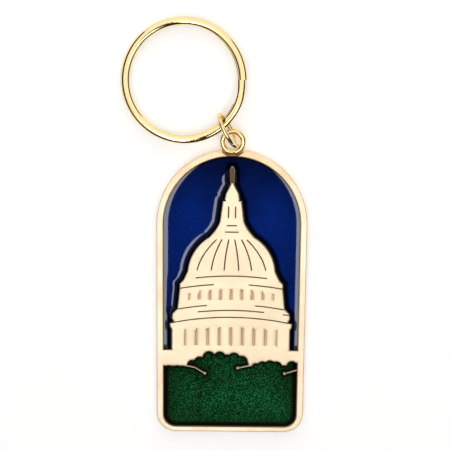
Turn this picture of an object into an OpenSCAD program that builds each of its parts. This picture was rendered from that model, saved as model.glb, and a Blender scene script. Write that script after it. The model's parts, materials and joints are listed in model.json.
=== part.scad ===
// Souvenir key fob: an arched struck plate with enamel fields, hung by a brazed loop and a
// jump ring from a split key ring. Millimetres. The origin is the centre of the plate's flat
// back, +Y points to the key ring and +Z out of the struck face.

/* [Plate] */
// Width of the plate
plate_w = 30.2; // [25:0.1:38]
// Length of the plate, from its straight end to the top of the arch
plate_l = 58.8; // [49:0.1:72]
// Thickness of the plate over its rim
plate_t = 2.6; // [2.1:0.1:3.4]
// Width of the rim along the sides and round the arch
rim_w = 1.4; // [1.1:0.1:2]
// Width of the rim along the straight end
rim_end_w = 1; // [0.8:0.1:2]
// Outer radius of the two corners at the straight end
corner_r = 4; // [3:0.1:6]
// Depth of the enamel cells below the rim
cell_depth = 1; // [0.8:0.1:1.3]

/* [Enamel] */
// How far the enamel lies below the rim
enamel_drop = 0.25; // [0.1:0.05:0.5]
// Height of the lawn, from the end rim to the foot of the building's base
lawn_h = 13.1; // [9:0.1:16]

/* [Building] */
// Height of the plain base between the lawn and the colonnade
base_h = 3.4; // [2.5:0.1:5]
// Sky left free between the colonnade and the side rims
side_sky = 1.65; // [1:0.05:3]
// Sky left free between the finial and the top rim
top_sky = 2; // [1:0.1:4]
// Depth of the lines struck into the building
line_depth = 0.25; // [0.1:0.05:0.4]
// Width of the struck lines
line_w = 0.3; // [0.2:0.05:0.45]
// Gaps between the columns of the lower colonnade
column_gaps = 9; // [5:2:11]
// Windows of the upper drum
drum_windows = 9; // [5:2:11]

/* [Hanging loop] */
// Wire diameter of the loop
loop_wire = 1.1; // [0.9:0.05:1.35]
// Clear hole in the loop
loop_hole = 3; // [2.5:0.1:4]
// How far the loop's foot is let into the plate's rim
loop_seat = 1.05; // [0.8:0.05:1.25]
// How far the loop stands above the rim
loop_proud = 0.4; // [0:0.05:0.5]
// Gap for the braze between the loop and its seat
braze_gap = 0.02; // [0.01:0.01:0.1]

/* [Jump ring] */
// Outer diameter of the jump ring
jump_od = 7.8; // [6.5:0.1:9.4]
// Wire diameter of the jump ring
jump_wire = 0.9; // [0.7:0.05:1.1]
// Gap between the two butted ends of its wire
jump_slit = 0.04; // [0.02:0.01:0.3]
// Turn of its plane from +Y towards -X
jump_turn = 30; // [10:1:45]
// Lean of its top from upright
jump_lean = 8; // [0:1:12]
// How far past the loop's centre its strand passes, towards the plate
strand_past = 0.5; // [0:0.05:0.6]
// How far its plane passes beside the loop's centre
strand_aside = 0.3; // [0:0.05:0.4]

/* [Split ring] */
// Outer diameter of the split key ring
ring_od = 25; // [20:0.5:32]
// Width of its wire, across the ring
ring_wire_w = 1.7; // [1.4:0.05:2.05]
// Thickness of one of its two turns
ring_wire_t = 1; // [0.8:0.05:1.2]
// Radius on the edges of its wire
ring_edge_r = 0.42; // [0.3:0.01:0.48]
// Turn of the ring from +Y towards -X
ring_turn = 44; // [30:1:55]
// Place of its wire in the jump ring, down from level on the far side
ring_place = 39; // [30:1:60]
// Free space round the split ring's wire inside the jump ring
link_gap = 0.2; // [0.15:0.01:0.3]
// Least free space between the loop and the split ring's wire
loop_clear = 0.45; // [0.4:0.05:0.8]
// Free space left under pieces that hang over the ground
ground_gap = 0.02; // [0.01:0.01:0.1]

/* [Hidden] */
$fn = 96;
// Extra reach of a cut past the face it opens
over = 0.2;

// The plate and its one big cell
end_y = -plate_l / 2;
arch_y = plate_l / 2 - plate_w / 2;
cell_half = plate_w / 2 - rim_w;
cell_end_y = end_y + rim_end_w;
cell_top_y = plate_l / 2 - rim_w;
cell_corner_r = max(corner_r - rim_w, 0.5);
cell_floor = plate_t - cell_depth;

// The picture: heights are above the ledge that the colonnade stands on
ground_y = cell_end_y + lawn_h;
ledge_y = ground_y + base_h;
colonnade_half = 12.05;
finial_top = 37.9;
art = min((cell_half - side_sky) / colonnade_half, (cell_top_y - top_sky - ledge_y) / finial_top);
storeys = [
    [12.05, 0], [12.05, 4.4], [12.4, 4.9], [12.4, 5.6], [11.6, 6], [12, 6.7], [11.9, 7.7],
    [10.9, 8.7], [10.45, 12.9], [10.45, 13.9], [9.7, 14.7], [9.1, 16], [8, 18]
];
dome_r = 8.85;
dome_y = 15.95;
neck_foot = [4.6, 23.5];
neck_head = [2.35, 27.3];
neck_steps = 8;
lantern = [[2.35, 27.3], [1.87, 31], [1.4, 31.1], [1.5, 31.3], [1.3, 32.4], [0.3, 34.4],
    [0.5, 35], [0.5, 37.1], [0.2, 37.9]];
// Radius of the shallow curve that every storey line follows
storey_curve_r = 58;
column_pitch = 21.2 / column_gaps;
window_pitch = 19.4 / drum_windows;
rib_feet = [1.45, 4.05, 6.9];
rib_heads = [0.6, 2, 3.1];

// Shrubs: centre and radius, from the middle of the building's foot
shrubs = [[-6.9, -0.4, 2.1], [-3.3, 1.3, 1.9], [0.2, 0.7, 2.1], [1.6, 0.3, 1.9],
    [6.9, -0.7, 2.15], [8.6, -0.6, 2], [12.9, -0.7, 2.1]];
// Twigs: two ends and a width, on the same footing
twigs = [[[-9.2, 0.3], [-7.2, -0.6], 0.4], [[-7.5, -0.4], [-5.2, -1.5], 0.5],
    [[1.3, -0.4], [4.3, 0.5], 0.5], [[10.8, -1.6], [12.4, -1.15], 0.5], [[12.1, -1.2], [14.2, -0.9], 0.4]];

// The loop
loop_mid_r = (loop_hole + loop_wire) / 2;
loop_y = plate_l / 2 - loop_seat + loop_mid_r + loop_wire / 2;
loop_z = plate_t + loop_proud - loop_wire / 2;

// The jump ring: reaches are along its plane, away from the plate. It is drawn out from the
// loop at least as far as the split ring's wire needs
jump_mid_r = (jump_od - jump_wire) / 2;
jump_z = ground_gap + jump_mid_r * cos(jump_lean) + jump_wire / 2;
strand_reach = sqrt(pow(jump_mid_r, 2) - pow(jump_z - loop_z, 2));
wire_reach = norm([ring_wire_w / 2 - ring_edge_r, ring_wire_t - ring_edge_r]) + ring_edge_r;
wire_room = jump_od / 2 - jump_wire - wire_reach - link_gap;
clear_reach = loop_mid_r + loop_wire / 2 + loop_clear + ring_wire_w / 2 - wire_room * cos(ring_place);
jump_reach = max(strand_reach - strand_past, clear_reach);
jump_dir = [-sin(jump_turn), cos(jump_turn)];
jump_side = [cos(jump_turn), sin(jump_turn)];
jump_xy = [0, loop_y] + jump_reach * jump_dir + strand_aside * jump_side;

// The split ring: its wire turns freely inside the jump ring
ring_mid_r = (ring_od - ring_wire_w) / 2;
pivot_xy = jump_xy + wire_room * cos(ring_place) * jump_dir;
pivot_z = jump_z - wire_room * sin(ring_place);
far_reach = ring_mid_r + ring_od / 2;
ring_tilt = asin((pivot_z - ground_gap) / norm([far_reach, ring_wire_t])) - atan(ring_wire_t / far_reach);

module arch_plan(half, end, corner) {
    translate([0, arch_y]) circle(half);
    translate([-half, end + corner]) square([2 * half, arch_y - end - corner]);
    translate([corner - half, end]) square([2 * (half - corner), corner]);
    for (side = [-1, 1]) translate([side * (half - corner), end + corner]) circle(corner);
}

module cell_plan() {
    arch_plan(cell_half, cell_end_y, cell_corner_r);
}

// A closed outline, mirrored about the middle, from its right-hand half
module both_sides(half_outline) {
    n = len(half_outline) - 1;
    polygon(concat(half_outline, [for (i = [n : -1 : 0]) [-half_outline[i][0], half_outline[i][1]]]));
}

module neck_plan() {
    rise = neck_head[1] - neck_foot[1];
    spread = neck_foot[0] - neck_head[0];
    both_sides([for (i = [0 : neck_steps])
        [neck_head[0] + spread * pow(1 - i / neck_steps, 1.6), neck_foot[1] + rise * i / neck_steps]]);
}

module building_plan() {
    translate([0, ledge_y]) scale(art) {
        both_sides(storeys);
        intersection() {
            translate([0, dome_y]) circle(dome_r);
            translate([-dome_r, dome_y]) square([2 * dome_r, neck_foot[1] + 0.5 - dome_y]);
        }
        neck_plan();
        both_sides(lantern);
    }
}

// A straight stroke between two points, with square ends
module stroke_plan(from, to, width) {
    run = to - from;
    translate(from) rotate(atan2(run[1], run[0])) translate([0, -width / 2]) square([norm(run), width]);
}

module shrub_plan() {
    translate([-cell_half, cell_end_y - over]) square([2 * cell_half, lawn_h + over]);
    translate([0, ground_y]) scale(art)
        for (shrub = shrubs) translate([shrub[0], shrub[1]]) circle(shrub[2]);
}

module lawn_plan() {
    difference() {
        intersection() {
            cell_plan();
            shrub_plan();
        }
        translate([0, ground_y]) scale(art) for (twig = twigs) stroke_plan(twig[0], twig[1], twig[2]);
    }
}

module sky_plan() {
    difference() {
        intersection() {
            cell_plan();
            translate([-cell_half, ledge_y]) square([2 * cell_half, plate_l]);
        }
        building_plan();
    }
}

// A struck line on the storeys' curve, between two distances from the middle, on both sides
module storey_line(height, inner, outer) {
    for (side = [0, 1]) mirror([side, 0]) intersection() {
        translate([0, height - storey_curve_r]) difference() {
            circle(storey_curve_r + line_w / 2, $fn = 360);
            circle(storey_curve_r - line_w / 2, $fn = 360);
        }
        translate([inner, height - 5]) square([outer - inner, 10]);
    }
}

module slot_plan(x, foot, head, width) {
    translate([x - width / 2, foot]) square([width, head - foot]);
}

module building_lines() {
    for (i = [0 : column_gaps - 1])
        slot_plan((i - (column_gaps - 1) / 2) * column_pitch, 0.9, 5.1, 1.8 * line_w);
    for (i = [0 : drum_windows - 1]) {
        x = (i - (drum_windows - 1) / 2) * window_pitch;
        slot_plan(x, 10.4, 13.2 - 0.016 * x * x, 2 * line_w);
    }
    for (side = [-1, 1], i = [0 : len(rib_feet) - 1])
        stroke_plan([side * rib_feet[i], 16.9], [side * rib_heads[i], 23], line_w);
    storey_line(5.55, 0, 12.4);
    storey_line(7, 0, 11.9);
    storey_line(8.5, 0, 6.6);
    storey_line(9.7, 5, 10.8);
    storey_line(13.95, 3.6, 10.6);
    storey_line(15.65, 0, 7.1);
    for (side = [-1, 1]) slot_plan(side * 0.7, 27.6, 29.8, line_w);
    translate([-0.95, 25.9]) square([1.9, line_w]);
    translate([-1.3, 24.6]) square([2.6, line_w]);
}

// The half-round seat for the loop's foot, open to the front
module loop_seat_cut() {
    seat_r = loop_wire / 2 + braze_gap;
    translate([0, loop_y, loop_z]) rotate_extrude() translate([loop_mid_r, 0]) {
        circle(seat_r);
        translate([-seat_r, 0]) square([2 * seat_r, plate_t]);
    }
}

module fob_plate() {
    color("khaki") difference() {
        linear_extrude(plate_t) arch_plan(plate_w / 2, end_y, corner_r);
        translate([0, 0, cell_floor]) linear_extrude(cell_depth + over) sky_plan();
        translate([0, 0, cell_floor]) linear_extrude(cell_depth + over) lawn_plan();
        translate([0, ledge_y, plate_t - line_depth]) scale([art, art, 1])
            linear_extrude(line_depth + over) building_lines();
        loop_seat_cut();
    }
}

module sky_enamel() {
    color("navy") translate([0, 0, cell_floor]) linear_extrude(cell_depth - enamel_drop) sky_plan();
}

module lawn_enamel() {
    color("darkgreen") translate([0, 0, cell_floor]) linear_extrude(cell_depth - enamel_drop) lawn_plan();
}

module hanging_loop() {
    color("khaki") translate([0, loop_y, loop_z])
        rotate_extrude() translate([loop_mid_r, 0]) circle(loop_wire / 2, $fn = 48);
}

// Laid in its plane: x along the plane away from the plate, y up, with the slit at the far top
module jump_wire_ring() {
    difference() {
        rotate_extrude() translate([jump_mid_r, 0]) circle(jump_wire / 2, $fn = 48);
        rotate(60) translate([0, -jump_slit / 2, -jump_wire]) cube([jump_od, jump_slit, 2 * jump_wire]);
    }
}

module jump_ring() {
    color("gold") translate([jump_xy[0], jump_xy[1], jump_z]) rotate(90 + jump_turn)
        rotate([90 - jump_lean, 0, 0]) jump_wire_ring();
}

module ring_turn_profile() {
    flat_w = ring_wire_w - 2 * ring_edge_r;
    flat_t = ring_wire_t - 2 * ring_edge_r;
    translate([-ring_wire_w / 2, ring_edge_r]) square([ring_wire_w, flat_t]);
    translate([-flat_w / 2, 0]) square([flat_w, ring_wire_t]);
    for (x = [-1, 1] * flat_w / 2, y = [ring_edge_r, ring_wire_t - ring_edge_r])
        translate([x, y]) circle(ring_edge_r, $fn = 48);
}

// Two turns on each other, laid out from the pivot along +X
module ring_coil() {
    translate([ring_mid_r, 0]) rotate_extrude() translate([ring_mid_r, 0]) {
        ring_turn_profile();
        mirror([0, 1]) ring_turn_profile();
    }
}

module split_ring() {
    color("gold") translate([pivot_xy[0], pivot_xy[1], pivot_z]) rotate(90 + ring_turn)
        rotate([0, ring_tilt, 0]) ring_coil();
}

fob_plate();
sky_enamel();
lawn_enamel();
hanging_loop();
jump_ring();
split_ring();
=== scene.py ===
"""The looks of a souvenir key fob: an arched struck plate with two enamel fields, a brazed
loop, a jump ring and a split key ring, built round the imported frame. Shapes are worked out
in millimetres and turned into metres when their meshes are made."""

import json
import math

import bpy
import numpy as np
from mathutils import Matrix, Vector
from mathutils.geometry import delaunay_2d_cdt


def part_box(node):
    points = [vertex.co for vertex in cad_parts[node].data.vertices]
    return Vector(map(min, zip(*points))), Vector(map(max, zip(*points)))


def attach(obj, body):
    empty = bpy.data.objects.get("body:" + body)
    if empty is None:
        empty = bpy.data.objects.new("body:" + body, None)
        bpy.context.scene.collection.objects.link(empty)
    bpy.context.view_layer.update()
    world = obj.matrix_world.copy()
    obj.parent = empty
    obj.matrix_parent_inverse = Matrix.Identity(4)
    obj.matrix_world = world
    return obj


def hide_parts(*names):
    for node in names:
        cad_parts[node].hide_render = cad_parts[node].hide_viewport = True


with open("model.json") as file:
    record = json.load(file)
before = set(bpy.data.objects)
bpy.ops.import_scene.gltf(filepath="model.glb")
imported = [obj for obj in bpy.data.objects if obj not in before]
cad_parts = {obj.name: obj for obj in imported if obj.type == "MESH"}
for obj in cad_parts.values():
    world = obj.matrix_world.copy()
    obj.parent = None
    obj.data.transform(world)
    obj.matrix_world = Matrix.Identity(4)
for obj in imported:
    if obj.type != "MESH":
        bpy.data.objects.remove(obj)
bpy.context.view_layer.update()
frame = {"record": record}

bl_info = {
    "name": "Souvenir key fob",
    "version": (1, 0, 0),
    "blender": (4, 5, 0),
    "location": "3D View > Sidebar > Key fob",
    "description": "Builds an enamelled key fob with its loop, jump ring and split ring",
    "category": "Add Mesh",
}

MM = 0.001


def box_mm(node):
    """Lowest and highest corner of a frame node, in millimetres."""
    low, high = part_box(node)
    return low / MM, high / MM


PLATE_LOW, PLATE_HIGH = box_mm("fob_plate")
SKY_LOW, SKY_HIGH = box_mm("sky_enamel")
LAWN_LOW = box_mm("lawn_enamel")[0]
LOOP_LOW, LOOP_HIGH = box_mm("hanging_loop")

# The plate and its cells
PLATE_HALF = PLATE_HIGH.x
PLATE_END = PLATE_LOW.y
PLATE_TOP = PLATE_HIGH.z
ARCH_Y = PLATE_HIGH.y - PLATE_HALF
CELL_HALF = SKY_HIGH.x
CELL_END = LAWN_LOW.y
CELL_FLOOR = SKY_LOW.z
ENAMEL_LEVEL = SKY_HIGH.z
CORNER = 4.0
CELL_CORNER = CORNER - (PLATE_HALF - CELL_HALF)

# The building: heights are above the ledge that the colonnade stands on
LEDGE_Y = SKY_LOW.y
BASE_HEIGHT = 3.4
GROUND_Y = LEDGE_Y - BASE_HEIGHT
STOREYS = [
    (12.05, 0), (12.05, 4.4), (12.4, 4.9), (12.4, 5.6), (11.6, 6), (12, 6.7), (11.9, 7.7),
    (10.9, 8.7), (10.45, 12.9), (10.45, 13.9), (9.7, 14.7), (9.1, 16),
]
DOME_RADIUS = 8.85
DOME_Y = 15.95
NECK_FOOT = (4.6, 23.5)
NECK_HEAD = (2.35, 27.3)
LANTERN = [(1.87, 31), (1.4, 31.1), (1.5, 31.3), (1.3, 32.4), (0.3, 34.4), (0.5, 35),
           (0.5, 37.1), (0.2, 37.9)]
FINIAL_FOOT = 34.4
STOREY_CURVE = 58.0
COLUMN_GAPS = 9
COLUMN_PITCH = 21.2 / COLUMN_GAPS
WINDOWS = 9
WINDOW_PITCH = 19.4 / WINDOWS
# The drum's row curves more than the storeys do: its fall is this times x squared
DRUM_FALL = 0.016
GAP_HALF = 0.15
COLONNADE = (0.8, 5.2)
DRUM_ROW = (10.4, 13.2)

# Shrubs: centre and radius of each clump, from the middle of the building's foot
SHRUBS = [
    (-12.6, -1.0, 1.1), (-10.9, -1.0, 1.1), (-7.8, 0.3, 1.0), (-6.3, 0.9, 1.1),
    (-4.4, 1.9, 1.25), (-3.3, 0.6, 1.9), (-2.2, 1.9, 1.2), (-0.7, 1.2, 1.3), (0.7, 1.65, 1.25),
    (1.0, 0.1, 1.9), (2.3, 1.05, 1.2), (2.9, -0.1, 1.0), (5.2, -0.3, 1.0), (6.6, -0.1, 1.2),
    (8.1, 0.1, 1.2), (9.4, -0.1, 1.2), (11.1, -0.8, 1.1), (12.6, 0.1, 1.1), (13.9, -0.2, 1.1),
]
# Twigs among the shrubs, each with a knob at its tip
TWIGS = [[(-9.3, 0.1), (-7.3, -0.3), (-5.2, -1.6)], [(4.5, 0.3), (1.5, -0.4)],
         [(14.0, -0.6), (11.1, -1.5)]]
TWIG_HALF = 0.12
KNOB_RADIUS = 0.3

# The loop
LOOP_Y = (LOOP_LOW.y + LOOP_HIGH.y) / 2
LOOP_Z = (LOOP_LOW.z + LOOP_HIGH.z) / 2
LOOP_WIRE = LOOP_HIGH.z - LOOP_LOW.z
LOOP_MID = (LOOP_HIGH.y - LOOP_LOW.y - LOOP_WIRE) / 2


# ---------------------------------------------------------------- settings


class FobSizes(bpy.types.PropertyGroup):
    """Sizes that a user would change"""

    edge_radius: bpy.props.FloatProperty(
        name="Edge radius", description="Rounding on the plate's outer edges",
        default=0.2 * MM, unit="LENGTH", subtype="DISTANCE")
    groove_half: bpy.props.FloatProperty(
        name="Line half width", description="Half the width of a struck line",
        default=0.16 * MM, unit="LENGTH", subtype="DISTANCE")
    groove_depth: bpy.props.FloatProperty(
        name="Line depth", description="Depth of a struck line",
        default=0.22 * MM, unit="LENGTH", subtype="DISTANCE")
    panel_depth: bpy.props.FloatProperty(
        name="Panel depth", description="Depth of the panels behind columns and pilasters",
        default=0.26 * MM, unit="LENGTH", subtype="DISTANCE")
    creep_reach: bpy.props.FloatProperty(
        name="Enamel creep", description="How far the enamel's rise reaches from the relief",
        default=0.62 * MM, unit="LENGTH", subtype="DISTANCE")
    rim_reach: bpy.props.FloatProperty(
        name="Rim creep", description="How far the enamel's rise reaches from the rim",
        default=1.7 * MM, unit="LENGTH", subtype="DISTANCE")
    rim_creep: bpy.props.FloatProperty(
        name="Rise at the rim", description="How far the enamel climbs the rim's wall",
        default=0.28 * MM, unit="LENGTH", subtype="DISTANCE")
    relief_creep: bpy.props.FloatProperty(
        name="Rise at the relief", description="How far the enamel climbs the building's wall",
        default=0.5 * MM, unit="LENGTH", subtype="DISTANCE")
    lee: bpy.props.FloatProperty(
        name="Lee share", description="How much less it climbs on the right-hand side",
        default=0.88, subtype="FACTOR", min=0, max=1)
    enamel_sink: bpy.props.FloatProperty(
        name="Enamel sink", description="How far the enamel lies below the frame's level",
        default=0.45 * MM, unit="LENGTH", subtype="DISTANCE")
    wire_roundness: bpy.props.FloatProperty(
        name="Split ring roundness", description="1 is an oval wire, and less is a squarer one",
        default=1.0, min=0.3, max=1.0)
    wire_width: bpy.props.FloatProperty(
        name="Split ring width", description="Width of the split ring's wire",
        default=1.7 * MM, unit="LENGTH", subtype="DISTANCE")
    turn_height: bpy.props.FloatProperty(
        name="Turn height", description="Thickness of one turn of the split ring",
        default=1.0 * MM, unit="LENGTH", subtype="DISTANCE")
    jump_wire: bpy.props.FloatProperty(
        name="Jump ring wire", description="Wire diameter of the jump ring",
        default=0.9 * MM, unit="LENGTH", subtype="DISTANCE")
    jump_turn: bpy.props.FloatProperty(
        name="Jump ring turn", description="Turn of the jump ring's plane from the plate's length",
        default=math.radians(30), unit="ROTATION", subtype="ANGLE")
    jump_lean: bpy.props.FloatProperty(
        name="Jump ring lean", description="Lean of the jump ring from upright",
        default=math.radians(8), unit="ROTATION", subtype="ANGLE")


def colour(name, description, default):
    """A colour setting."""
    return bpy.props.FloatVectorProperty(
        name=name, description=description, default=default, size=4, subtype="COLOR",
        min=0, max=1)


class FobColours(bpy.types.PropertyGroup):
    """Colours that a user would change"""

    rim_gold: colour("Rim", "Bright plate on the rim, edge and back", (0.94, 0.78, 0.57, 1))
    relief_gold: colour("Relief", "Satin plate on the building", (0.96, 0.81, 0.58, 1))
    wire_gold: colour("Wire", "Bright plate on the rings", (0.95, 0.77, 0.4, 1))
    sky: colour("Sky enamel", "Blue enamel in full depth", (0.0, 0.028, 0.3, 1))
    # Painted shade: the dark colour that the blue enamel takes against the metal.
    sky_shade: colour("Sky shade", "Blue enamel against the metal", (0.0, 0.001, 0.006, 1))
    sky_spark: colour("Sky grain", "Fine grain in the blue enamel", (0.005, 0.05, 0.4, 1))
    lawn: colour("Lawn enamel", "Green enamel in full depth", (0.0, 0.03, 0.004, 1))
    # Painted shade: the dark colour that the green enamel takes against the metal.
    lawn_shade: colour("Lawn shade", "Green enamel against the metal", (0.003, 0.002, 0.0, 1))
    lawn_spark: colour("Lawn sparkle", "Fine sparkle in the green enamel", (0.03, 0.33, 0.105, 1))
    # Orange tint round the loop's foot; the same colour is also painted warm reflection towards
    # the top of the arch and painted warm shade low on the columns and pilasters.
    braze: colour("Braze", "Heat-tinted plate round the loop's foot", (0.95, 0.5, 0.2, 1))
    floor: colour("Floor", "Pale floor", (0.95, 0.95, 0.95, 1))


# ---------------------------------------------------------------- plane shapes


def arch_distance(x, y, half, end, corner):
    """Signed distance to an arched outline, negative inside."""
    across = np.abs(x) - (half - corner)
    below = end + corner - y
    straight = np.hypot(np.maximum(across, 0), np.maximum(below, 0)) - corner
    straight = straight + np.minimum(np.maximum(across, below), 0)
    return np.where(y > ARCH_Y, np.hypot(x, y - ARCH_Y) - half, straight)


def segment_distance(x, y, start, stop):
    """Distance to a straight piece of line."""
    run_x, run_y = stop[0] - start[0], stop[1] - start[1]
    share = ((x - start[0]) * run_x + (y - start[1]) * run_y) / (run_x**2 + run_y**2)
    share = np.clip(share, 0, 1)
    return np.hypot(x - start[0] - share * run_x, y - start[1] - share * run_y)


def polygon_distance(x, y, points):
    """Signed distance to a closed outline, negative inside."""
    nearest = np.full(np.shape(x), 1e3)
    inside = np.zeros(np.shape(x), bool)
    for start, stop in zip(points, points[1:] + points[:1]):
        nearest = np.minimum(nearest, segment_distance(x, y, start, stop))
        if start[1] != stop[1]:
            crosses = (y >= start[1]) != (y >= stop[1])
            share = (y - start[1]) / (stop[1] - start[1])
            inside ^= crosses & (x < start[0] + share * (stop[0] - start[0]))
    return np.where(inside, -nearest, nearest)


def building_outline():
    """The building's closed outline, in plate coordinates."""
    steps = 14
    foot_angle = math.asin((STOREYS[-1][1] + 0.6 - DOME_Y) / DOME_RADIUS)
    head_angle = math.asin((NECK_FOOT[1] - DOME_Y) / DOME_RADIUS)
    angles = [foot_angle + (head_angle - foot_angle) * i / steps for i in range(steps)]
    dome = [(DOME_RADIUS * math.cos(a), DOME_Y + DOME_RADIUS * math.sin(a)) for a in angles]
    spread, rise = NECK_FOOT[0] - NECK_HEAD[0], NECK_HEAD[1] - NECK_FOOT[1]
    shares = [i / steps for i in range(steps + 1)]
    neck = [(NECK_HEAD[0] + spread * (1 - s) ** 1.6, NECK_FOOT[1] + rise * s) for s in shares]
    foot = [(STOREYS[0][0], -BASE_HEIGHT)]
    right = foot + STOREYS + dome + neck + LANTERN
    left = [(-x, y) for x, y in reversed(right)]
    return [(x, y + LEDGE_Y) for x, y in right + left]


BUILDING = building_outline()


def cell_distance(x, y):
    """Signed distance to the plate's inner outline, negative inside."""
    return arch_distance(x, y, CELL_HALF, CELL_END, CELL_CORNER)


def lawn_outline():
    """The closed outline of the lawn with its shrubs, wider than its cell on three sides."""
    steps = 150
    outline = [(-16, PLATE_END - 4), (16, PLATE_END - 4)]
    for i in range(steps + 1):
        x, height = 16 - 32 * i / steps, 0
        for centre_x, centre_y, radius in SHRUBS:
            if abs(x - centre_x) < radius:
                height = max(height, centre_y + math.sqrt(radius**2 - (x - centre_x) ** 2))
        outline.append((x, GROUND_Y + height))
    return outline


LAWN = lawn_outline()


def shrub_distance(x, y):
    """Signed distance to the lawn and its shrubs, negative inside."""
    return polygon_distance(x, y, LAWN)


def twig_distance(x, y):
    """Signed distance to the metal twigs, negative inside."""
    nearest = np.full(np.shape(x), 1e3)
    for twig in TWIGS:
        for start, stop in zip(twig, twig[1:]):
            nearest = np.minimum(nearest, segment_distance(x, y - GROUND_Y, start, stop))
        knob = np.hypot(x - twig[-1][0], y - GROUND_Y - twig[-1][1]) - KNOB_RADIUS
        nearest = np.minimum(nearest, knob + TWIG_HALF)
    return nearest - TWIG_HALF


def sky_distance(x, y):
    """Signed distance to the sky's cell, negative inside."""
    building = polygon_distance(x, y, BUILDING)
    return np.maximum(np.maximum(cell_distance(x, y), LEDGE_Y - y), -building)


def lawn_distance(x, y):
    """Signed distance to the lawn's cell, negative inside."""
    return np.maximum(np.maximum(cell_distance(x, y), shrub_distance(x, y)), -twig_distance(x, y))


def panel_distance(x, y):
    """Signed distance to the two sunk panels behind the columns and pilasters."""
    storey_y = y - LEDGE_Y + x * x / (2 * STOREY_CURVE)
    column_side = np.abs(x) - COLUMN_PITCH * (COLUMN_GAPS - 1) / 2 - GAP_HALF
    columns = np.maximum(column_side, np.maximum(LEDGE_Y + COLONNADE[0] - y,
                                                 storey_y - COLONNADE[1] - 0.15))
    drum_side = np.abs(x) - WINDOW_PITCH * (WINDOWS - 1) / 2 - GAP_HALF
    drum = np.maximum(drum_side, np.maximum(LEDGE_Y + DRUM_ROW[0] - y,
                                            y - LEDGE_Y - DRUM_ROW[1] + DRUM_FALL * x * x))
    return np.minimum(columns, drum)


def storey_arc(height, inner, outer, side):
    """Points along a storey's shallow curve on one side of the middle."""
    steps = max(2, int((outer - inner) / 0.5))
    xs = [inner + (outer - inner) * i / steps for i in range(steps + 1)]
    return [(side * x, LEDGE_Y + height - x * x / (2 * STOREY_CURVE)) for x in xs]


def rib_arc(foot_x, head_x):
    """Points up one curved rib of the dome, bulging outwards."""
    foot_y, head_y, steps = 16.9, 23.1, 10
    bulge = 0.16 * (foot_x - head_x)
    shares = [i / steps for i in range(steps + 1)]
    return [(foot_x + (head_x - foot_x) * s + 4 * bulge * s * (1 - s),
             LEDGE_Y + foot_y + (head_y - foot_y) * s) for s in shares]


def struck_lines():
    """Centre lines of all the lines struck into the building."""
    lines = []
    for side in (-1, 1):
        for foot_x, head_x in ((1.45, 0.6), (4.05, 2.0), (6.9, 3.1)):
            lines.append(rib_arc(side * foot_x, side * head_x))
        lines.append(storey_arc(9.7, 5, 10.75, side))
        lines.append(storey_arc(13.95, 3.6, 10.55, side))
        lines.append([(side * 0.7, LEDGE_Y + 27.6), (side * 0.7, LEDGE_Y + 29.8)])
        lines.append([(side * 1.9, LEDGE_Y + 31.05), (side * 1.35, LEDGE_Y + 31.05)])
    for height, reach in ((7.05, 12.05), (8.5, 6.6), (15.65, 7.1)):
        left = storey_arc(height, 0, reach, -1)
        lines.append(left[:0:-1] + storey_arc(height, 0, reach, 1))
    lines.append([(-0.95, LEDGE_Y + 26), (0.95, LEDGE_Y + 26)])
    lines.append([(-1.3, LEDGE_Y + 24.7), (1.3, LEDGE_Y + 24.7)])
    lines.append([(10.6, LEDGE_Y + 7.65), (11.95, LEDGE_Y + 7.55)])
    return lines


LINES = struck_lines()


def line_distance(x, y):
    """Distance to the nearest struck line."""
    nearest = np.full(np.shape(x), 1e3)
    for line in LINES:
        for start, stop in zip(line, line[1:]):
            nearest = np.minimum(nearest, segment_distance(x, y, start, stop))
    return nearest


def smooth(share):
    """A smooth step from 0 to 1."""
    share = np.clip(share, 0, 1)
    return share * share * (3 - 2 * share)


# ---------------------------------------------------------------- heights


def pocket_distance(x, y):
    """Distance to the nearest enamel cell: positive on metal, negative in a cell."""
    return np.minimum(sky_distance(x, y), lawn_distance(x, y))


# Width of the sloping wall round a cell and round a sunk panel
WALL_WIDTH = 0.08
PANEL_WALL = 0.14
# How far the finial lies below the rest of the building
FINIAL_DROP = 0.2
# The loop's seat, and the braze that stands beside its wire
SEAT_RADIUS = LOOP_WIRE / 2 + 0.02
FILLET_REACH = 0.5
FILLET_RISE = 0.28


def panel_share(x, y):
    """1 on a sunk panel, 0 off it, and a soft step between."""
    return smooth(-panel_distance(x, y) / PANEL_WALL)


def finial_share(x, y):
    """1 on the finial, 0 below it and on the rim, and a soft step at its foot."""
    return smooth((y - LEDGE_Y - FINIAL_FOOT) / 0.3) * (cell_distance(x, y) < -1)


def seat_height(x, y):
    """Height of the loop's seat: below the wire, and unlimited elsewhere."""
    aside = np.abs(np.hypot(x, y - LOOP_Y) - LOOP_MID)
    sunk = LOOP_Z - np.sqrt(np.maximum(SEAT_RADIUS**2 - aside**2, 0))
    return np.where(aside < SEAT_RADIUS, sunk, 10)


def fillet_rise(x, y):
    """How far the braze stands above the rim beside the loop's wire."""
    aside = np.abs(np.hypot(x, y - LOOP_Y) - LOOP_MID) - SEAT_RADIUS
    return FILLET_RISE * np.clip(1 - np.maximum(aside, 0) / FILLET_REACH, 0, 1) ** 2.2


def metal_height(x, y, sizes):
    """Height of the struck metal over a point of the plate."""
    gap = pocket_distance(x, y)
    near = np.maximum(gap, 0)
    rounding = 0.08 * np.exp(-((near / 0.1) ** 2)) + 0.05 * np.exp(-((near / 0.3) ** 2))
    height = PLATE_TOP - rounding
    height = height - panel_share(x, y) * sizes.panel_depth / MM
    groove = np.clip(line_distance(x, y) / (sizes.groove_half / MM), 0, 1)
    height = height - sizes.groove_depth / MM * (0.5 + 0.5 * np.cos(math.pi * groove))
    height = height - FINIAL_DROP * finial_share(x, y)
    height = np.maximum(height, CELL_FLOOR)
    height = height + np.minimum(gap, 0) / WALL_WIDTH * (height - CELL_FLOOR)
    height = np.maximum(height, CELL_FLOOR) + fillet_rise(x, y)
    return np.minimum(height, seat_height(x, y))


# ---------------------------------------------------------------- contour meshes


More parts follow.
